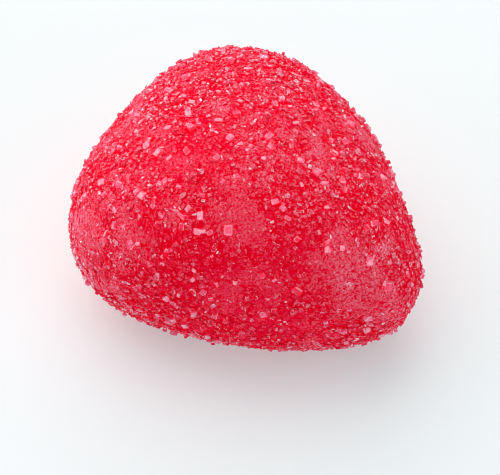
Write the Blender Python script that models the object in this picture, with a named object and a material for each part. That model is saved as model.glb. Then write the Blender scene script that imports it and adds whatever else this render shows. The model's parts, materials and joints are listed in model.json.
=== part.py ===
"""Sugar-coated strawberry-shaped sweet, modelled at its real size.

One soft lump, lying on its belly with the narrow tip pointing along +Y and
the broad shoulder end, where a strawberry's leaves would be, along -Y.
Units are metres, +Z is up, and the origin is the middle of the base.

The form is a rounded body (a superellipsoid) that is pushed out into lobes
and pressed in at a few dents, then cut flat where it has settled under its
own weight.
"""

import math

import bmesh
import bpy
import numpy as np
from mathutils import Vector

MM = 0.001

# ---------------------------------------------------------------- dimensions
HALF_WIDTH = 15.0 * MM       # basic body, half of X
HALF_LENGTH = 13.9 * MM      # basic body, half of Y
DOME_HEIGHT = 12.45 * MM     # middle of the body up to the crown
BELLY_DEPTH = 11.0 * MM      # middle of the body down to the uncut belly
FLAT_CUT = 9.35 * MM         # the belly is cut flat this far below the middle
ROUNDNESS = 2.24             # 2 is an ellipsoid, higher is boxier

# Lobes and dents: where each one points (azimuth from +X, elevation above the
# horizontal, in degrees), how far it spreads (degrees), and how far it stands
# out (+) or is pressed in (-).
FEATURES = {
    "tip":            dict(azimuth=93, elevation=0, spread=26.5, reach=6.25 * MM),
    "left_shoulder":  dict(azimuth=191, elevation=-1, spread=27.0, reach=3.00 * MM),
    "right_shoulder": dict(azimuth=-37, elevation=-5, spread=20.5, reach=4.85 * MM),
    "crown":          dict(azimuth=-70, elevation=60, spread=42.0, reach=0.65 * MM),
    "stalk_dimple":   dict(azimuth=-56, elevation=-6, spread=12.0, reach=-1.60 * MM),
    "front_flat":     dict(azimuth=236, elevation=-8, spread=26.0, reach=-1.25 * MM),
    "heel":           dict(azimuth=272, elevation=-16, spread=23.0, reach=0.20 * MM),
    "right_flank":    dict(azimuth=41, elevation=14, spread=20.0, reach=-0.45 * MM),
    # shallow hollows and swellings left by handling
    "thumb_hollow":   dict(azimuth=168, elevation=52, spread=15.0, reach=-0.45 * MM),
    "crown_hollow":   dict(azimuth=-10, elevation=48, spread=14.0, reach=-0.40 * MM),
    "ridge":          dict(azimuth=78, elevation=55, spread=16.0, reach=0.35 * MM),
    "front_swell":    dict(azimuth=-118, elevation=28, spread=15.0, reach=0.30 * MM),
}

# Fine unevenness of the whole skin
SEED = 27
WAVE_COUNT = 26
WAVE_SPREAD = 13.0           # degrees
WAVE_HEIGHT = 0.16 * MM

# Mesh fineness
SPHERE_SUBDIVISIONS = 5      # 5120 triangles before the flat is cut
SNAP_TO_FLAT = 0.20 * MM     # points this near the cut are moved onto it

BODY_COLOUR = (0.766, 0.041, 0.083, 1.0)   # strawberry pink-red, linear
BODY_ROUGHNESS = 0.45


# ------------------------------------------------------------------- geometry
def direction(azimuth, elevation):
    """Unit vector for an azimuth and an elevation in degrees."""
    a, e = math.radians(azimuth), math.radians(elevation)
    return np.array((math.cos(a) * math.cos(e), math.sin(a) * math.cos(e), math.sin(e)))


def swell(units, centre, spread, reach):
    """Smooth bump of height reach around one direction of the body."""
    angle = np.degrees(np.arccos(np.clip(units @ centre, -1.0, 1.0)))
    return reach * np.exp(-0.5 * (angle / spread) ** 2)


def body_points(units):
    """Points of the skin, measured from the middle of the body."""
    height = np.where(units[:, 2] >= 0.0, DOME_HEIGHT, BELLY_DEPTH)
    radius = ((np.abs(units[:, 0]) / HALF_WIDTH) ** ROUNDNESS
              + (np.abs(units[:, 1]) / HALF_LENGTH) ** ROUNDNESS
              + (np.abs(units[:, 2]) / height) ** ROUNDNESS) ** (-1.0 / ROUNDNESS)
    for feature in FEATURES.values():
        centre = direction(feature["azimuth"], feature["elevation"])
        radius = radius + swell(units, centre, feature["spread"], feature["reach"])
    rng = np.random.default_rng(SEED)
    for _ in range(WAVE_COUNT):
        centre = rng.normal(size=3)
        centre /= np.linalg.norm(centre)
        radius = radius + swell(units, centre, WAVE_SPREAD * rng.uniform(0.7, 1.3),
                                WAVE_HEIGHT * rng.uniform(-1.0, 1.0))
    return units * radius[:, None]


def make_body_mesh(name):
    """Closed mesh of the body, with its flat underside at z = 0."""
    bm = bmesh.new()
    bmesh.ops.create_icosphere(bm, subdivisions=SPHERE_SUBDIVISIONS, radius=1.0)
    units = np.array([v.co[:] for v in bm.verts])
    units /= np.linalg.norm(units, axis=1)[:, None]
    points = body_points(units)
    points[:, 2] += FLAT_CUT
    near = np.abs(points[:, 2]) < SNAP_TO_FLAT
    points[near, 2] = 0.0
    for vert, point in zip(bm.verts, points):
        vert.co = point

    cut = bmesh.ops.bisect_plane(bm, geom=bm.verts[:] + bm.edges[:] + bm.faces[:],
                                 dist=1e-6, plane_co=(0, 0, 0), plane_no=(0, 0, -1),
                                 clear_outer=True)
    rim = [e for e in cut["geom_cut"] if isinstance(e, bmesh.types.BMEdge)]
    rim = [e for e in rim if e.is_boundary]
    underside = bmesh.ops.contextual_create(bm, geom=rim)["faces"]
    bmesh.ops.triangulate(bm, faces=underside, ngon_method="BEAUTY")
    bmesh.ops.recalc_face_normals(bm, faces=bm.faces[:])

    # the origin goes to the middle of the base
    low = Vector([min(v.co[i] for v in bm.verts) for i in range(3)])
    high = Vector([max(v.co[i] for v in bm.verts) for i in range(3)])
    centre = Vector(((low.x + high.x) / 2, (low.y + high.y) / 2, low.z))
    bmesh.ops.translate(bm, verts=bm.verts[:], vec=-centre)

    mesh = bpy.data.meshes.new(name)
    bm.to_mesh(mesh)
    bm.free()
    mesh.shade_smooth()
    mesh.set_sharp_from_angle(angle=math.radians(50))
    return mesh


def make_material(name, colour, roughness):
    material = bpy.data.materials.new(name)
    material.use_nodes = True
    shader = material.node_tree.nodes["Principled BSDF"]
    shader.inputs["Base Color"].default_value = colour
    shader.inputs["Roughness"].default_value = roughness
    shader.inputs["Metallic"].default_value = 0.0
    return material


# ----------------------------------------------------------------------- scene
def main():
    for obj in list(bpy.data.objects):
        bpy.data.objects.remove(obj, do_unlink=True)

    collection = bpy.data.collections.new("sugared_strawberry_sweet")
    bpy.context.scene.collection.children.link(collection)

    body = bpy.data.objects.new("sweet_body", make_body_mesh("sweet_body"))
    body.data.materials.append(make_material("sweet_body", BODY_COLOUR, BODY_ROUGHNESS))
    collection.objects.link(body)


main()
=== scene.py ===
"""Looks of the sugar-coated strawberry-shaped sweet.

A moist red core stands for the CAD solid, and thousands of sugar grains of
several size classes are pressed into it and lie on it, each one a small
closed crystal at its true size.
"""
import json
import math

import bpy
import numpy as np
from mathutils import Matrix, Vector, noise
from mathutils.bvhtree import BVHTree


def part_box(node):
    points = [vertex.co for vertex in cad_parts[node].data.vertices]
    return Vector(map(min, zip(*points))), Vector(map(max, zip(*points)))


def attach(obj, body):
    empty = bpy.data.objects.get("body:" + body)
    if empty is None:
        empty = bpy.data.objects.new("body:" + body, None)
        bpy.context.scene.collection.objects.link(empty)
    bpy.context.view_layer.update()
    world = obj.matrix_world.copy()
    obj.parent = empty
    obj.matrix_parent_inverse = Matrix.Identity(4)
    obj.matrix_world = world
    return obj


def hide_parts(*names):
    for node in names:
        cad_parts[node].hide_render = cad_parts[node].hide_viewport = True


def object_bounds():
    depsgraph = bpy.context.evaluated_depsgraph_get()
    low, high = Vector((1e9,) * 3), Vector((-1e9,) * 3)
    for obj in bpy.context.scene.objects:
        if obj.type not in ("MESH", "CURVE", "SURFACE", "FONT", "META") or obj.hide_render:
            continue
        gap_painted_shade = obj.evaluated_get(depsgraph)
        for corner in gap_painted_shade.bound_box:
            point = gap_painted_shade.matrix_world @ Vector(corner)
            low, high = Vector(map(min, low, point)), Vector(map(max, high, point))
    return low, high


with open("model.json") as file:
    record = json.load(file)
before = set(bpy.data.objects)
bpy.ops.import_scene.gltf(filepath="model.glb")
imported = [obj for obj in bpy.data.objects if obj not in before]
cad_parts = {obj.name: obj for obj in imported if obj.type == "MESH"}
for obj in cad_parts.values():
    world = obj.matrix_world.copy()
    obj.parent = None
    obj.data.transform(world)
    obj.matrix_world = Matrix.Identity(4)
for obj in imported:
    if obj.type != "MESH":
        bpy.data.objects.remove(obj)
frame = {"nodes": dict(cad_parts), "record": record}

cad_low, cad_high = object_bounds()

MM = 0.001
NODE = "sweet_body"
BODY = frame["record"].get("behaviour", {}).get("bodies") or {"root": [NODE]}
BODY = list(BODY)[0]

# ------------------------------------------------------------------ dimensions
CORE_GRID = 120              # quads along each side of the cube-sphere core
CORE_INSET = 0.24 * MM       # the core's skin lies this far inside the sugar
CORE_RELIEF = 0.15 * MM

SEED = 4271

# name: count, smallest and largest size, chamfer (share of the half size),
# spacing (share of the mean size), how high its top stands over the core's
# skin and how much that varies, usual lean in degrees, share that leans anyhow
# everywhere and the further share that does so where grains lie heaped
CLASSES = {
    "clear": dict(count=950, low=0.38 * MM, high=0.82 * MM, chamfer=0.26, spacing=0.90,
                  top=(0.25 * MM, 0.12 * MM), tilt=12.0, tumbled=0.04, heaped=0.6),
    "proud": dict(count=2700, low=0.28 * MM, high=0.56 * MM, chamfer=0.18, spacing=0.86,
                  top=(0.18 * MM, 0.07 * MM), tilt=14.0, tumbled=0.08, heaped=0.65),
    "medium": dict(count=4400, low=0.36 * MM, high=0.66 * MM, chamfer=0.20, spacing=0.77,
                   top=(0.13 * MM, 0.03 * MM), tilt=7.0, tumbled=0.05, heaped=0.5),
    "glint": dict(count=1300, low=0.12 * MM, high=0.30 * MM, chamfer=0.0, spacing=0.80,
                  top=(0.22 * MM, 0.07 * MM), tilt=26.0, tumbled=0.4, heaped=0.3),
    "fine": dict(count=15500, low=0.24 * MM, high=0.46 * MM, chamfer=0.0, spacing=0.72,
                 top=(0.105 * MM, 0.025 * MM), tilt=10.0, tumbled=0.08, heaped=0.45),
    "dust": dict(count=12000, low=0.10 * MM, high=0.20 * MM, chamfer=0.0, spacing=0.80,
                 top=(0.09 * MM, 0.025 * MM), tilt=20.0, tumbled=0.3, heaped=0.3),
}

# Painted shade and light: where the coating is painted deeper red (-) as shade or
# paler (+) as light: azimuth from +X and elevation above the horizontal, seen from inside, spread, and how much.
PAINTED_SHADE_AND_LIGHT = [
    dict(azimuth=-90, elevation=-2, spread=28.0, amount=-0.20),
    dict(azimuth=-112, elevation=30, spread=20.0, amount=-0.12),
    dict(azimuth=150, elevation=35, spread=45.0, amount=0.105),
    dict(azimuth=-18, elevation=25, spread=24.0, amount=0.05),
    dict(azimuth=-161, elevation=66, spread=10.0, amount=-0.24),
    dict(azimuth=177, elevation=73, spread=7.0, amount=-0.08),
    dict(azimuth=-53, elevation=54, spread=9.0, amount=0.17),
    dict(azimuth=-39, elevation=19, spread=9.0, amount=0.10),
    dict(azimuth=-153, elevation=-2, spread=10.0, amount=0.08),
    dict(azimuth=-73, elevation=9, spread=11.0, amount=-0.06),
    dict(azimuth=-158, elevation=-25, spread=16.0, amount=0.19),
    dict(azimuth=-46, elevation=-25, spread=19.0, amount=0.22),
    dict(azimuth=-92, elevation=-38, spread=14.0, amount=0.16),
]

# Where fine sugar has settled into smooth patches, and where it is coarse.
PATCHES = [
    dict(azimuth=-50, elevation=21, spread=9.0, amount=1.0),
    dict(azimuth=-90, elevation=50, spread=7.0, amount=0.9),
    dict(azimuth=-157, elevation=15, spread=8.0, amount=0.9),
    dict(azimuth=-96, elevation=16, spread=6.0, amount=0.8),
    dict(azimuth=-139, elevation=24, spread=6.0, amount=0.8),
    dict(azimuth=20, elevation=35, spread=8.0, amount=0.8),
    dict(azimuth=110, elevation=10, spread=9.0, amount=0.8),
    dict(azimuth=-118, elevation=30, spread=11.0, amount=-0.7),
    dict(azimuth=-62, elevation=40, spread=8.0, amount=-0.6),
    dict(azimuth=60, elevation=30, spread=12.0, amount=-0.5),
]

# Where the coating has settled flat (+), so that few grains stand out.
SETTLED = [
    dict(azimuth=-80, elevation=42, spread=26.0, amount=0.75),
    dict(azimuth=-50, elevation=18, spread=18.0, amount=0.45),
]

# how much deeper red the sides of a grain are painted than its top: painted shade
SIDE_PAINTED_SHADE = {"sugar_clear": 0.5, "sugar_glint": 0.85, "sugar_proud": 0.85, "sugar_medium": 0.8, "sugar_fine": 0.6}

# light spreads inside a cloudy grain, so its faces are shaded more like the
# skin that it lies on: how much of the skin's direction their normals take
SOFTENING = {"sugar_clear": 0.2, "sugar_glint": 0.3, "sugar_proud": 0.4, "sugar_medium": 0.6, "sugar_fine": 0.6, "sugar_dust": 0.6}

# how much the tint drifts from one corner of a grain to the next
CLOUDING = {"sugar_clear": 0.15, "sugar_glint": 0.10, "sugar_proud": 0.15, "sugar_medium": 0.10, "sugar_fine": 0.06}

# shares of a grain's edges painted pale, a painted highlight, and painted deep red
EDGES = {"sugar_clear": (0.42, 0.0), "sugar_proud": (0.22, 0.40), "sugar_medium": (0.10, 0.60)}

rng = np.random.default_rng(SEED)


# --------------------------------------------------------------- mesh helpers
def mesh_from_arrays(name, points, faces_by_size):
    """Mesh from an (n, 3) array and a list of (m, k) arrays of k-sided faces."""
    mesh = bpy.data.meshes.new(name)
    mesh.vertices.add(len(points))
    mesh.vertices.foreach_set("co", np.ascontiguousarray(points, dtype=np.float32).ravel())
    corners = np.concatenate([f.ravel() for f in faces_by_size]).astype(np.int32)
    sizes = np.concatenate([np.full(len(f), f.shape[1], dtype=np.int32) for f in faces_by_size])
    starts = np.concatenate(([0], np.cumsum(sizes)[:-1])).astype(np.int32)
    mesh.loops.add(len(corners))
    mesh.loops.foreach_set("vertex_index", corners)
    mesh.polygons.add(len(sizes))
    mesh.polygons.foreach_set("loop_start", starts)
    mesh.update(calc_edges=True)
    mesh.validate()
    return mesh


def add_object(name, mesh):
    obj = bpy.data.objects.new(name, mesh)
    bpy.context.scene.collection.objects.link(obj)
    return obj


def cube_sphere(n):
    """Unit directions and quads of a sphere made from a cube's six grids."""
    i, j = np.meshgrid(np.arange(n + 1), np.arange(n + 1), indexing="ij")
    lattice, quads = [], []
    for axis in range(3):
        for side in (0, n):
            face = np.empty((n + 1, n + 1, 3), dtype=np.int64)
            face[..., axis] = side
            face[..., (axis + 1) % 3] = i
            face[..., (axis + 2) % 3] = j
            base = len(lattice) * (n + 1) ** 2
            k = base + np.arange((n + 1) ** 2).reshape(n + 1, n + 1)
            q = np.stack((k[:-1, :-1], k[1:, :-1], k[1:, 1:], k[:-1, 1:]), axis=-1).reshape(-1, 4)
            quads.append(q if side else q[:, ::-1])
            lattice.append(face.reshape(-1, 3))
    lattice = np.concatenate(lattice)
    quads = np.concatenate(quads)
    keys, back = np.unique(lattice, axis=0, return_inverse=True)
    back = back.reshape(-1)
    units = np.tan(math.pi / 4 * (2.0 * keys / n - 1.0))
    units /= np.linalg.norm(units, axis=1)[:, None]
    return units, back[quads]


def neighbour_mean(values, edges, count):
    total = np.zeros((count,) + values.shape[1:])
    for a, b in ((0, 1), (1, 0)):
        if values.ndim == 1:
            total += np.bincount(edges[:, a], values[edges[:, b]], count)
        else:
            for c in range(values.shape[1]):
                total[:, c] += np.bincount(edges[:, a], values[edges[:, b], c], count)
    degree = np.bincount(edges.ravel(), minlength=count)
    return total / (degree if values.ndim == 1 else degree[:, None])


def vertex_normals(points, quads):
    a, b, c, d = (points[quads[:, k]] for k in range(4))
    flat = np.cross(c - a, d - b)
    normals = np.zeros_like(points)
    for k in range(4):
        for c_ in range(3):
            normals[:, c_] += np.bincount(quads[:, k], flat[:, c_], len(points))
    return normals / np.linalg.norm(normals, axis=1)[:, None]


def fractal(points, size, octaves=2, offset=0.0):
    """Smooth noise from about -1 to 1 with features of a given size."""
    shift = Vector((offset, offset * 0.7 + 3.1, offset * 0.3 - 5.2))
    out = np.empty(len(points))
    scaled = points / size
    for k, p in enumerate(scaled):
        v = Vector(p) + shift
        out[k] = noise.noise(v)
        if octaves > 1:
            out[k] += 0.5 * noise.noise(v * 2.03)
    return out * 1.4


def step(values, low, high):
    t = np.clip((values - low) / (high - low), 0.0, 1.0)
    return t * t * (3.0 - 2.0 * t)


def lobes(points, rules):
    """Sum of soft round patches, each around one direction from the middle."""
    middle = np.array([0.0, -3.0 * MM, 9.35 * MM])
    units = points - middle
    units /= np.linalg.norm(units, axis=1)[:, None]
    total = np.zeros(len(points))
    for rule in rules:
        a, e = math.radians(rule["azimuth"]), math.radians(rule["elevation"])
        centre = np.array((math.cos(a) * math.cos(e), math.sin(a) * math.cos(e), math.sin(e)))
        angle = np.degrees(np.arccos(np.clip(units @ centre, -1.0, 1.0)))
        total += rule["amount"] * np.exp(-0.5 * (angle / rule["spread"]) ** 2)
    return total


def smoothness(points):
    """1 where fine sugar lies in a smooth patch, 0 where the coating is coarse."""
    return np.clip(0.48 + 0.6 * lobes(points, PATCHES) + 0.30 * fractal(points, 4.2 * MM, 2, 21.0) + 0.22 * fractal(points, 1.3 * MM, 2, 33.0), 0.0, 1.0)


def swelling(smooth):
    """How far the skin stands up in a smooth patch."""
    return 0.085 * MM * step(smooth, 0.45, 0.85)


def coarseness(points):
    """1 where grains lie heaped and turned every way, 0 where they lie flat."""
    return 1.0 - np.clip(lobes(points, SETTLED) / 0.70, 0.0, 1.0)


def settling(smooth):
    """1 where the sugar has fused into a smooth coral patch, 0 where it is open."""
    return step(smooth, 0.18, 0.82)


def painted_light_and_tone(points, smooth):
    """How much paler (+) or deeper red (-) the coating is painted at each point: painted light and shade from the
    lobes, plus a random tone and paler fused patches.
    """
    return lobes(points, PAINTED_SHADE_AND_LIGHT) + 0.08 * fractal(points, 4.5 * MM, 2, 40.0) + 0.05 * (settling(smooth) - 0.5)


# ------------------------------------------------------------------- the core
def make_core():
    cad = frame["nodes"][NODE]
    deps = bpy.context.evaluated_depsgraph_get()
    tree = BVHTree.FromObject(cad, deps)
    to_world = cad.matrix_world
    to_local = to_world.inverted()
    units, quads = cube_sphere(CORE_GRID)
    low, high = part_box(NODE)
    centre = Vector((low[0] + high[0], low[1] + high[1], low[2] + high[2])) / 2
    centre.z = low[2] + (high[2] - low[2]) * 0.42
    start = to_local @ centre
    turn = to_local.to_3x3()
    radius = np.empty(len(units))
    for k, unit in enumerate(units):
        hit = tree.ray_cast(start, (turn @ Vector(unit)).normalized())[0]
        radius[k] = (to_world @ hit - centre).length
    edges = np.concatenate([quads[:, [k, (k + 1) % 4]] for k in range(4)])
    edges = np.unique(np.sort(edges, axis=1), axis=0)
    for _ in range(40):
        radius = 0.4 * radius + 0.6 * neighbour_mean(radius, edges, len(units))
    skin = np.array(centre) + units * radius[:, None]
    normals = vertex_normals(skin, quads)
    relief = (0.65 * fractal(skin, 2.2 * MM, 2, 1.0) + 0.25 * fractal(skin, 0.8 * MM, 2, 9.0))
    smooth = smoothness(skin)
    raised = swelling(smooth)
    points = skin - normals * (CORE_INSET - CORE_RELIEF * relief - raised)[:, None]
    floor = low[2] + CORE_INSET * 0.7
    points[:, 2] = np.maximum(points[:, 2], floor)
    mesh = mesh_from_arrays("sweet_core", points, [quads])
    mesh.polygons.foreach_set("use_smooth", np.ones(len(quads), dtype=bool))
    # the "pale" attribute holds painted light and shade, with a random tone
    for key, values in (("smooth", smooth), ("settled", settling(smooth)), ("pale", painted_light_and_tone(skin, smooth))):
        mesh.attributes.new(key, "FLOAT", "POINT").data.foreach_set("value", values.astype(np.float32))
    bumpy = vertex_normals(points, quads)
    bend = 0.4 * bumpy + 0.6 * normals
    bend /= np.linalg.norm(bend, axis=1)[:, None]
    mesh.normals_split_custom_set_from_vertices(bend.tolist())
    return add_object("sweet_core", mesh), points, quads, bumpy, normals


core, core_points, core_quads, core_normals, skin_normals = make_core()


def sample_surface(count):
    """Random points of the core, evenly by area, with the normals of the bumpy and of the smooth skin."""
    tris = np.concatenate((core_quads[:, [0, 1, 2]], core_quads[:, [0, 2, 3]]))
    a, b, c = (core_points[tris[:, k]] for k in range(3))
    area = np.linalg.norm(np.cross(b - a, c - a), axis=1)
    pick = rng.choice(len(tris), size=count, p=area / area.sum())
    u, v = rng.random(count), rng.random(count)
    over = u + v > 1
    u[over], v[over] = 1 - u[over], 1 - v[over]
    w = np.stack((1 - u - v, u, v), axis=1)
    corner = tris[pick]
    points = np.einsum("ik,ikc->ic", w, core_points[corner])
    both = []
    for source in (core_normals, skin_normals):
        normals = np.einsum("ik,ikc->ic", w, source[corner])
        both.append(normals / np.linalg.norm(normals, axis=1)[:, None])
    return points, both[0], both[1]


# ------------------------------------------------------------------- crystals
def crystal_template(chamfered):
    """Corner weights and faces of a box crystal, with or without chamfers."""
    signs = np.array([(x, y, z) for x in (-1, 1) for y in (-1, 1) for z in (-1, 1)], float)
    if not chamfered:
        rows = signs
        marks = np.zeros((8, 3))
    else:
        rows, marks = [], []
        for s in signs:
            for axis in range(3):
                mark = np.ones(3)
                mark[axis] = 0.0
                rows.append(s)
                marks.append(mark)      # 1 where the coordinate is drawn in
        rows, marks = np.array(rows), np.array(marks)
    faces = {4: [], 3: []}
    if not chamfered:
        for axis in range(3):
            for side in (-1, 1):
                faces[4].append([k for k in range(8) if rows[k][axis] == side])
    else:
        index = {(tuple(rows[k].astype(int)), int(np.argmin(marks[k]))): k for k in range(24)}
        for axis in range(3):
            for side in (-1, 1):
                faces[4].append([index[(tuple(s.astype(int)), axis)] for s in signs if s[axis] == side])
        for axis in range(3):            # edges along axis
            u, v = (axis + 1) % 3, (axis + 2) % 3
            for su in (-1, 1):
                for sv in (-1, 1):
                    ends = [s for s in signs if s[u] == su and s[v] == sv]
                    faces[4].append([index[(tuple(s.astype(int)), side)] for s in ends for side in (u, v)])
        for s in signs:
            faces[3].append([index[(tuple(s.astype(int)), axis)] for axis in range(3)])
    drawn = rows - rows * marks * 0.2
    ordered = {}
    for size, group in faces.items():
        done = []
        for face in group:
            pts = drawn[face]
            mid = pts.mean(axis=0)
            out = mid / np.linalg.norm(mid)
            side = np.cross(out, (0.3, 0.5, 0.8))
            side /= np.linalg.norm(side)
            up = np.cross(out, side)
            angle = np.arctan2((pts - mid) @ up, (pts - mid) @ side)
            done.append([face[k] for k in np.argsort(angle)])
        ordered[size] = np.array(done, dtype=np.int64).reshape(-1, size)
    return rows, marks, ordered


def rotation_about(axis, angle):
    """Rotation matrices about unit axes, (n, 3, 3)."""
    c, s = np.cos(angle), np.sin(angle)
    x, y, z = axis.T
    t = 1 - c
    return np.stack((np.stack((t * x * x + c, t * x * y - s * z, t * x * z + s * y), -1),
                     np.stack((t * x * y + s * z, t * y * y + c, t * y * z - s * x), -1),
                     np.stack((t * x * z - s * y, t * y * z + s * x, t * z * z + c), -1)), -2)


def crystals(name, points, normals, even, sizes, tops, rule):
    """One mesh of many box crystals, each in its own place, size and turn."""
    count = len(points)
    chamfer = rule["chamfer"]
    rows, marks, faces = crystal_template(chamfer > 0)
    # frame of each crystal: its third axis near the skin's normal
    helper = rng.normal(size=(count, 3))
    first = np.cross(normals, helper)
    first /= np.linalg.norm(first, axis=1)[:, None]
    second = np.cross(normals, first)
    basis = np.stack((first, second, normals), axis=-1)
    lean = np.abs(rng.normal(0.0, rule["tilt"], count))
    coarse = coarseness(points)
    tumbled = rng.random(count) < rule["tumbled"] + rule["heaped"] * coarse
    lean = np.radians(np.where(tumbled, rng.uniform(25.0, 75.0, count), lean))
    way = rng.uniform(0, 2 * math.pi, count)
    lean_axis = first * np.cos(way)[:, None] + second * np.sin(way)[:, None]
    basis = rotation_about(lean_axis, lean) @ basis
    half = sizes[:, None] / 2 * np.stack((rng.uniform(0.90, 1.30, count), rng.uniform(0.70, 1.0, count),
                                          rng.uniform(0.55, 0.92, count)), axis=-1)
    if name == "sugar_glint":            # slivers
        half *= np.array((1.25, 0.80, 0.75))
    shear = rng.uniform(-0.22, 0.22, (count, 2))
    jitter = rng.uniform(-1.0, 1.0, (count, 8, 3)) * rng.uniform(0.05, 0.30, (count, 1, 1))
    draw = np.ones((count, 1, 1)) * chamfer * rng.uniform(0.6, 1.6, (count, 1, 1))
    local = rows[None] * (1.0 - marks[None] * draw)                   # in -1 to 1
    weight = np.ones((count, len(rows), 8))
    corner_signs = np.array([(x, y, z) for x in (-1, 1) for y in (-1, 1) for z in (-1, 1)], float)
    for c in range(3):
        weight *= 0.5 * (1 + local[:, :, None, c] * corner_signs[None, None, :, c])
    local = local + np.einsum("nvk,nkc->nvc", weight, jitter)
    local = local * half[:, None, :]
    local[..., 0] += local[..., 2] * shear[:, None, 0]
    local[..., 1] += local[..., 2] * shear[:, None, 1]
    world = np.einsum("nij,nvj->nvi", basis, local)
    lift = tops - np.einsum("nvc,nc->nv", world, normals).max(axis=1)
    world += (points + normals * lift[:, None])[:, None, :]
    world[..., 2] = np.maximum(world[..., 2], cad_low[2])

    # tint of every face, and each corner's height over the skin: the shader
    # paints deep red low between the grains, a painted shade
    height = np.einsum("nvc,nc->nv", world - points[:, None, :], normals)
    own = rng.normal(0.55, 0.055, count)
    if name in ("sugar_fine", "sugar_dust"):
        own = np.where(rng.random(count) < 0.15, rng.uniform(0.0, 0.22, count), own + 0.01)
    elif name == "sugar_clear":
        own = np.where(rng.random(count) < 0.45, rng.uniform(0.68, 0.92, count), rng.normal(0.60, 0.07, count))
    elif name == "sugar_proud":
        own = rng.normal(0.655, 0.100, count)
    elif name == "sugar_glint":
        # glint slivers are painted nearly white: a painted highlight, besides their own gloss
        own = rng.uniform(0.60, 1.05, count)
    smooth = smoothness(points)
    if name in ("sugar_clear", "sugar_proud"):   # clearer where few lie, so that the bed shows through
        own = own - 0.11 * (1.0 - coarse)
    # painted light and shade over the body, with a random tone
    own = own + painted_light_and_tone(points, smooth)
    clouding = CLOUDING.get(name, 0.0) * rng.normal(0.0, 1.0, (count, len(rows)))
    groups, tints, bends = [], [], []
    soften = SOFTENING.get(name, 0.0)
    offsets = np.arange(count)[:, None, None] * len(rows)
    for size, group in faces.items():
        if not len(group):
            continue
        groups.append((group[None] + offsets).reshape(-1, size))
        shade = rng.normal(0.0, 1.0, (count, len(group)))
        value = own[:, None] + 0.06 * shade
        if name == "sugar_clear":        # now and then a whole face is painted nearly white, a painted highlight
            value = np.where(rng.random(shade.shape) < 0.14, rng.uniform(0.88, 1.0, shade.shape), value)
        ring = world[:, group]
        flat = np.cross(ring[:, :, 2] - ring[:, :, 0], ring[:, :, -1] - ring[:, :, 1])
        flat /= np.linalg.norm(flat, axis=2)[..., None] + 1e-12
        facing = np.einsum("nfc,nc->nf", flat, normals)
        bend = (1.0 - soften) * flat + soften * even[:, None, :]
        bend /= np.linalg.norm(bend, axis=2)[..., None]
        bends.append(np.repeat(bend.reshape(-1, 3), size, axis=0))
        # sides painted deeper red than the top: painted shade
        value *= 1.0 - (SIDE_PAINTED_SHADE.get(name, 0.5) * (1.0 - 0.25 * coarse))[:, None] * (1.0 - step(facing, 0.1, 0.85))
        if chamfer > 0:
            main = (np.arange(len(group)) < 6) if size == 4 else np.zeros(len(group), bool)
            # pale edges are a painted highlight
            pale, deep = EDGES[name]
            luck = rng.random(shade.shape)
            pale = pale * (1.0 + 0.5 * (1.0 - coarse))[:, None]
            edge = np.where(luck < pale, rng.uniform(0.70, 1.0, shade.shape),
                            np.where(luck < pale + deep, own[:, None] * rng.uniform(0.0, 0.5, shade.shape), value))
            value = np.where(main[None], value, edge)
        tints.append(np.clip(value[..., None] + clouding[:, group], 0.0, 1.0).ravel())
    mesh = mesh_from_arrays(name, world.reshape(-1, 3), groups)
    if soften:
        mesh.polygons.foreach_set("use_smooth", np.ones(len(mesh.polygons), dtype=bool))
        mesh.normals_split_custom_set(np.concatenate(bends).tolist())
    tint = mesh.attributes.new("tint", "FLOAT", "CORNER")
    tint.data.foreach_set("value", np.concatenate(tints).astype(np.float32))
    settled = mesh.attributes.new("settled", "FLOAT", "POINT")
    settled.data.foreach_set("value", np.repeat(settling(smooth), len(rows)).astype(np.float32))
    rise = mesh.attributes.new("rise", "FLOAT", "POINT")
    raised = swelling(smooth)
    rise.data.foreach_set("value", ((height + raised[:, None]) / MM).astype(np.float32).ravel())
    return add_object(name, mesh)


class Spacer:
    """Keeps grains from landing on each other."""

    def __init__(self, cell):
        self.cell = cell
        self.bins = {}

    def try_add(self, p, r, share):
        k = tuple(int(math.floor(c / self.cell)) for c in p)
        for dx in (-1, 0, 1):
            for dy in (-1, 0, 1):
                for dz in (-1, 0, 1):
                    for q, s in self.bins.get((k[0] + dx, k[1] + dy, k[2] + dz), ()):
                        gap = (r + s) * share
                        if (p[0] - q[0]) ** 2 + (p[1] - q[1]) ** 2 + (p[2] - q[2]) ** 2 < gap * gap:
                            return False
        self.bins.setdefault(k, []).append((p, r))
        return True


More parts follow.
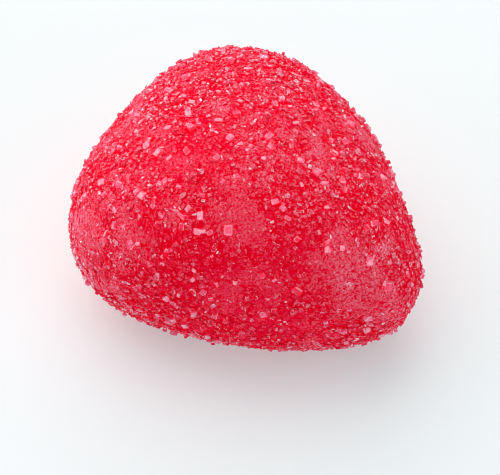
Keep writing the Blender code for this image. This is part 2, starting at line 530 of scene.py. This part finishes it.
def scatter():
    spacer = Spacer(1.0 * MM)
    made = {}
    for name, rule in CLASSES.items():
        tries = int(rule["count"] * {"clear": 6, "proud": 4, "medium": 4, "glint": 3, "fine": 4, "dust": 2.5}[name])
        points, normals, even = sample_surface(tries)
        # more small ones than large ones
        sizes = rule["low"] + (rule["high"] - rule["low"]) * rng.random(tries) ** 1.3
        smooth = smoothness(points)
        settled = settling(smooth)
        coarse = coarseness(points)
        keep = {"clear": (1.0 - 0.6 * settled) * (0.2 + 0.8 * coarse),
                "proud": (1.0 - 0.85 * settled) * (0.15 + 0.85 * coarse),
                "medium": 1.0 - 0.7 * settled, "glint": (1.0 - 0.5 * settled) * (0.45 + 0.55 * coarse),
                "fine": 1.0 - 0.80 * settled, "dust": 0.60 + 0.10 * settled}[name]
        wanted = rng.random(tries) < keep
        chosen = []
        for k in np.nonzero(wanted)[0]:
            if spacer.try_add(tuple(points[k]), sizes[k] / 2, rule["spacing"]):
                chosen.append(k)
                if len(chosen) >= rule["count"]:
                    break
        chosen = np.array(chosen)
        tops = rng.normal(rule["top"][0], rule["top"][1], len(chosen)) - swelling(smooth[chosen])
        spread = {"clear": (0.08, 0.08), "proud": (0.08, 0.09), "medium": (0.05, 0.07), "fine": (0.04, 0.05)}.get(name, (0.0, 0.0))
        tops += coarse[chosen] * MM * rng.normal(spread[0], spread[1], len(chosen))
        made[name] = crystals("sugar_" + name, points[chosen], normals[chosen], even[chosen], sizes[chosen], tops, rule)
        print(name, len(chosen), "of", rule["count"])
    return made


grains = scatter()


# ------------------------------------------------------------------ materials
def new_material(name):
    material = bpy.data.materials.new(name)
    material.use_nodes = True
    tree = material.node_tree
    return material, tree, tree.nodes["Principled BSDF"]


def ramp(tree, stops):
    node = tree.nodes.new("ShaderNodeValToRGB")
    elements = node.color_ramp.elements
    while len(elements) < len(stops):
        elements.new(0.5)
    for element, (at, colour) in zip(elements, stops):
        element.position = at
        element.color = (*colour, 1.0)
    return node


# from the deep red between the grains to nearly clear sugar
SUGAR_TINTS = [(0.00, (0.997, 0.0001, 0.013)), (0.12, (0.997, 0.004, 0.053)), (0.28, (0.992, 0.023, 0.085)),
               (0.42, (0.982, 0.067, 0.121)), (0.55, (0.976, 0.108, 0.162)), (0.68, (0.988, 0.172, 0.248)),
               (0.82, (1.000, 0.320, 0.440)), (1.00, (1.000, 0.680, 0.760))]
# for the cloudy grains that lie on the bed
CLOUDY_TINTS = [(0.00, (0.997, 0.002, 0.032)), (0.28, (0.997, 0.055, 0.130)), (0.42, (0.997, 0.110, 0.195)),
                (0.55, (0.997, 0.175, 0.280)), (0.68, (0.997, 0.290, 0.405)), (0.82, (1.000, 0.480, 0.600)),
                (1.00, (1.000, 0.800, 0.880))]
# pinker for the clear grains, as light goes through them
CLEAR_TINTS = [(0.00, (0.997, 0.002, 0.040)), (0.28, (0.997, 0.055, 0.155)), (0.42, (0.997, 0.110, 0.238)),
               (0.55, (0.997, 0.180, 0.340)), (0.68, (0.997, 0.300, 0.490)), (0.82, (1.000, 0.490, 0.690)),
               (1.00, (1.000, 0.810, 0.930))]


def pit_noise(tree, coords):
    """Fine noise whose low spots are deep red pits, fewer in the fused patches."""
    new, link = tree.nodes.new, tree.links.new
    fine = new("ShaderNodeTexNoise")
    fine.inputs["Scale"].default_value = 4800.0
    fine.inputs["Detail"].default_value = 3.0
    fine.inputs["Roughness"].default_value = 0.65
    link(coords.outputs["Object"], fine.inputs["Vector"])
    settled = new("ShaderNodeAttribute")
    settled.attribute_type = "GEOMETRY"
    settled.attribute_name = "settled"
    total = new("ShaderNodeMath")
    total.operation = "MULTIPLY_ADD"
    total.inputs[1].default_value = 0.05
    link(settled.outputs["Fac"], total.inputs[0])
    link(fine.outputs["Fac"], total.inputs[2])
    return total.outputs[0]


def core_material():
    """Moist red skin: coral cells with deep red grooves and pits, and open deep red zones."""
    material, tree, shader = new_material("moist_red_core")
    new, link = tree.nodes.new, tree.links.new
    coords = new("ShaderNodeTexCoord")
    warp = new("ShaderNodeTexNoise")
    warp.inputs["Scale"].default_value = 3000.0
    warp.inputs["Detail"].default_value = 2.0
    link(coords.outputs["Object"], warp.inputs["Vector"])
    spread = new("ShaderNodeVectorMath")
    spread.operation = "MULTIPLY_ADD"
    spread.inputs[1].default_value = (0.00025,) * 3
    link(warp.outputs["Color"], spread.inputs[0])
    link(coords.outputs["Object"], spread.inputs[2])
    cells = new("ShaderNodeTexVoronoi")
    cells.feature = "DISTANCE_TO_EDGE"
    cells.inputs["Scale"].default_value = 2300.0
    link(spread.outputs[0], cells.inputs["Vector"])
    fine = pit_noise(tree, coords)
    groove = new("ShaderNodeMapRange")
    groove.inputs["From Min"].default_value = 0.015
    groove.inputs["From Max"].default_value = 0.09
    groove.inputs["To Min"].default_value = 0.35
    link(cells.outputs["Distance"], groove.inputs["Value"])
    pits = new("ShaderNodeMapRange")
    pits.inputs["From Min"].default_value = 0.465
    pits.inputs["From Max"].default_value = 0.505
    link(fine, pits.inputs["Value"])
    smooth = new("ShaderNodeAttribute")
    smooth.attribute_type = "GEOMETRY"
    smooth.attribute_name = "smooth"
    zones = new("ShaderNodeMapRange")
    zones.inputs["From Min"].default_value = 0.20
    zones.inputs["From Max"].default_value = 0.65
    link(smooth.outputs["Fac"], zones.inputs["Value"])
    both = new("ShaderNodeMath")
    both.operation = "MULTIPLY"
    link(groove.outputs[0], both.inputs[0])
    link(pits.outputs[0], both.inputs[1])
    crumbs = new("ShaderNodeMapRange")
    crumbs.inputs["From Min"].default_value = 0.48
    crumbs.inputs["From Max"].default_value = 0.55
    crumbs.inputs["To Max"].default_value = 0.75
    link(fine, crumbs.inputs["Value"])
    either = new("ShaderNodeMath")
    either.operation = "MAXIMUM"
    link(zones.outputs[0], either.inputs[0])
    link(crumbs.outputs[0], either.inputs[1])
    all_ = new("ShaderNodeMath")
    all_.operation = "MULTIPLY"
    link(both.outputs[0], all_.inputs[0])
    link(either.outputs[0], all_.inputs[1])
    # painted light and shade, with a random tone, lift or deepen the core's tint
    pale = new("ShaderNodeAttribute")
    pale.attribute_type = "GEOMETRY"
    pale.attribute_name = "pale"
    level = new("ShaderNodeMath")
    level.operation = "ADD"
    level.inputs[1].default_value = 0.60
    link(pale.outputs["Fac"], level.inputs[0])
    tint = new("ShaderNodeMath")
    tint.operation = "MULTIPLY"
    link(all_.outputs[0], tint.inputs[0])
    link(level.outputs[0], tint.inputs[1])
    colours = ramp(tree, SUGAR_TINTS)
    link(tint.outputs[0], colours.inputs["Fac"])
    link(colours.outputs["Color"], shader.inputs["Base Color"])
    bump = new("ShaderNodeBump")
    bump.inputs["Strength"].default_value = 0.25
    bump.inputs["Distance"].default_value = 0.00005
    link(groove.outputs[0], bump.inputs["Height"])
    link(bump.outputs["Normal"], shader.inputs["Normal"])
    shader.inputs["Roughness"].default_value = 0.5
    shader.inputs["Specular IOR Level"].default_value = 0.0
    return material


def sugar_material(name, clearness, roughness, gloss, mottle, specks=0.0, rise_to=0.10, ior=1.54, tints=SUGAR_TINTS, uneven=0.0):
    """Sugar: each face has its own tint, and the light goes partly through it."""
    material, tree, shader = new_material(name)
    new, link = tree.nodes.new, tree.links.new
    tint = new("ShaderNodeAttribute")
    tint.attribute_type = "GEOMETRY"
    tint.attribute_name = "tint"
    coords = new("ShaderNodeTexCoord")
    cloud = new("ShaderNodeTexNoise")
    cloud.inputs["Scale"].default_value = 6500.0
    cloud.inputs["Detail"].default_value = 2.0
    link(coords.outputs["Object"], cloud.inputs["Vector"])
    spread = new("ShaderNodeMapRange")
    spread.inputs["From Min"].default_value = 0.25
    spread.inputs["From Max"].default_value = 0.75
    spread.inputs["To Min"].default_value = 1.0 - mottle
    spread.inputs["To Max"].default_value = 1.0 + mottle
    link(cloud.outputs["Fac"], spread.inputs["Value"])
    mixed = new("ShaderNodeMath")
    mixed.operation = "MULTIPLY"
    link(tint.outputs["Fac"], mixed.inputs[0])
    link(spread.outputs[0], mixed.inputs[1])
    rise = new("ShaderNodeAttribute")
    rise.attribute_type = "GEOMETRY"
    rise.attribute_name = "rise"
    # deep red low near the skin between the grains: painted shade
    gap_painted_shade = new("ShaderNodeMapRange")
    gap_painted_shade.interpolation_type = "SMOOTHSTEP"
    gap_painted_shade.inputs["From Min"].default_value = 0.05
    gap_painted_shade.inputs["From Max"].default_value = rise_to
    gap_painted_shade.inputs["To Min"].default_value = 0.05
    link(rise.outputs["Fac"], gap_painted_shade.inputs["Value"])
    final = new("ShaderNodeMath")
    final.operation = "MULTIPLY"
    link(mixed.outputs[0], final.inputs[0])
    link(gap_painted_shade.outputs[0], final.inputs[1])
    if specks:
        pits = new("ShaderNodeMapRange")
        pits.inputs["From Min"].default_value = 0.475
        pits.inputs["From Max"].default_value = 0.505
        pits.inputs["To Min"].default_value = 1.0 - specks
        link(pit_noise(tree, coords), pits.inputs["Value"])
        pitted = new("ShaderNodeMath")
        pitted.operation = "MULTIPLY"
        link(final.outputs[0], pitted.inputs[0])
        link(pits.outputs[0], pitted.inputs[1])
        final = pitted
    colours = ramp(tree, tints)
    link(final.outputs[0], colours.inputs["Fac"])
    link(colours.outputs["Color"], shader.inputs["Base Color"])
    if uneven:
        dents = new("ShaderNodeTexNoise")
        dents.inputs["Scale"].default_value = 4200.0
        dents.inputs["Detail"].default_value = 2.0
        link(coords.outputs["Object"], dents.inputs["Vector"])
        bump = new("ShaderNodeBump")
        bump.inputs["Strength"].default_value = uneven
        bump.inputs["Distance"].default_value = 0.00005
        link(dents.outputs["Fac"], bump.inputs["Height"])
        link(bump.outputs["Normal"], shader.inputs["Normal"])
    shader.inputs["Roughness"].default_value = roughness
    shader.inputs["IOR"].default_value = ior
    shader.inputs["Specular IOR Level"].default_value = gloss
    shader.inputs["Transmission Weight"].default_value = clearness
    return material


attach(core, BODY)
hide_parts(NODE)
core.data.materials.append(core_material())
looks = {
    "clear": sugar_material("sugar_clear", 0.42, 0.12, 0.5, 0.30, 0.0, 0.12, 1.22, CLEAR_TINTS, 0.5),
    "proud": sugar_material("sugar_proud", 0.12, 0.15, 0.25, 0.30, 0.6, 0.16, 1.25, CLOUDY_TINTS, 0.2),
    "medium": sugar_material("sugar_medium", 0.0, 0.4, 0.0, 0.15, 0.95),
    "glint": sugar_material("sugar_glint", 0.0, 0.10, 0.4, 0.20, 0.0, 0.10, 1.6, CLOUDY_TINTS),
    "fine": sugar_material("sugar_fine", 0.0, 0.4, 0.0, 0.15, 1.0),
    "dust": sugar_material("sugar_dust", 0.0, 0.5, 0.0, 0.0, 1.0),
}
for key, grain in grains.items():
    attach(grain, BODY)
    grain.data.materials.append(looks[key])


# --------------------------------------------------------------------- staging
def place_camera():
    data = bpy.data.cameras.new("camera")
    camera = bpy.data.objects.new("camera", data)
    bpy.context.scene.collection.objects.link(camera)
    data.sensor_width = 36.0
    data.lens = 200.0
    elevation = math.radians(50.0)
    target = Vector((0.545, -5.573, 9.0)) * MM
    back = Vector((0.0, -math.cos(elevation), math.sin(elevation)))
    camera.location = target + back * 0.278
    camera.rotation_mode = "QUATERNION"
    camera.rotation_quaternion = (-back).to_track_quat("-Z", "Y")
    data.clip_start, data.clip_end = 0.01, 10.0
    bpy.context.scene.camera = camera


def area_light(name, azimuth, elevation, distance, size, radiance, gloss_only=False, tone=(1.0, 1.0, 1.0)):
    """Round soft light aimed at the sweet; radiance is its brightness as seen."""
    data = bpy.data.lights.new(name, "AREA")
    data.shape = "DISK"
    data.size = size
    data.color = tone
    data.energy = radiance * math.pi * math.pi * (size / 2) ** 2
    light = bpy.data.objects.new(name, data)
    bpy.context.scene.collection.objects.link(light)
    a, e = math.radians(azimuth), math.radians(elevation)
    out = Vector((math.cos(a) * math.cos(e), math.sin(a) * math.cos(e), math.sin(e)))
    light.location = Vector((0, 0, 0.01)) + out * distance
    light.rotation_mode = "QUATERNION"
    light.rotation_quaternion = (-out).to_track_quat("-Z", "Y")
    light.visible_camera = False
    light.visible_diffuse = not gloss_only
    light.visible_glossy = True
    return light


place_camera()
area_light("soft_back_left", 118.0, 46.0, 0.90, 1.60, 1.23)
area_light("fill_left", -166.0, 8.0, 0.80, 0.60, 1.40, tone=(1.0, 0.98, 1.20))
area_light("fill_right", -28.0, 6.0, 0.80, 0.60, 1.32, tone=(1.0, 0.98, 1.20))
area_light("overhead", -60.0, 84.0, 0.6, 0.70, 0.48)
area_light("sparkle_left", 165.0, 45.0, 0.6, 0.09, 60.0, True)
area_light("sparkle_top", 80.0, 62.0, 0.6, 0.09, 60.0, True)
area_light("sparkle_low_left", -150.0, 30.0, 0.6, 0.07, 60.0, True)
area_light("sparkle_low_right", -30.0, 30.0, 0.6, 0.06, 60.0, True)
scene = bpy.context.scene
scene.cycles.filter_width = 1.1
scene.cycles.max_bounces = 48
scene.cycles.diffuse_bounces = 40
scene.cycles.glossy_bounces = 12
scene.cycles.transmission_bounces = 24
scene.cycles.transparent_max_bounces = 32
world = bpy.data.worlds.new("studio")
bpy.context.scene.world = world
world.use_nodes = True
world.node_tree.nodes["Background"].inputs["Color"].default_value = (1.0, 1.0, 1.0, 1.0)
# a white tent: seen through the grains and in their gloss it is brighter
tent, tent_link = world.node_tree.nodes.new, world.node_tree.links.new
path = tent("ShaderNodeLightPath")
glow = tent("ShaderNodeMath")
glow.operation = "MULTIPLY_ADD"
glow.inputs[1].default_value = 0.585
glow.inputs[2].default_value = 0.395
tent_link(path.outputs["Is Transmission Ray"], glow.inputs[0])
shine = tent("ShaderNodeMath")
shine.operation = "MULTIPLY_ADD"
shine.inputs[1].default_value = 0.285
tent_link(path.outputs["Is Glossy Ray"], shine.inputs[0])
tent_link(glow.outputs[0], shine.inputs[2])
backdrop = tent("ShaderNodeMath")
backdrop.operation = "MULTIPLY_ADD"
backdrop.inputs[1].default_value = 0.59
tent_link(path.outputs["Is Camera Ray"], backdrop.inputs[0])
tent_link(shine.outputs[0], backdrop.inputs[2])
tent_link(backdrop.outputs[0], world.node_tree.nodes["Background"].inputs["Strength"])

bpy.ops.mesh.primitive_plane_add(size=1.8, location=(0, 0, 0))
floor = bpy.context.object
floor.name = "floor"
floor_material, floor_tree, floor_shader = new_material("white_table")
floor_shader.inputs["Base Color"].default_value = (0.86, 0.69, 0.69, 1.0)
floor_shader.inputs["Emission Color"].default_value = (0.30, 0.98, 0.99, 1.0)
floor_shader.inputs["Emission Strength"].default_value = 0.33
floor_shader.inputs["Roughness"].default_value = 0.9
floor_shader.inputs["Specular IOR Level"].default_value = 0.0
floor.data.materials.append(floor_material)

bpy.context.scene.view_settings.view_transform = "Standard"
bpy.context.scene.view_settings.look = "None"
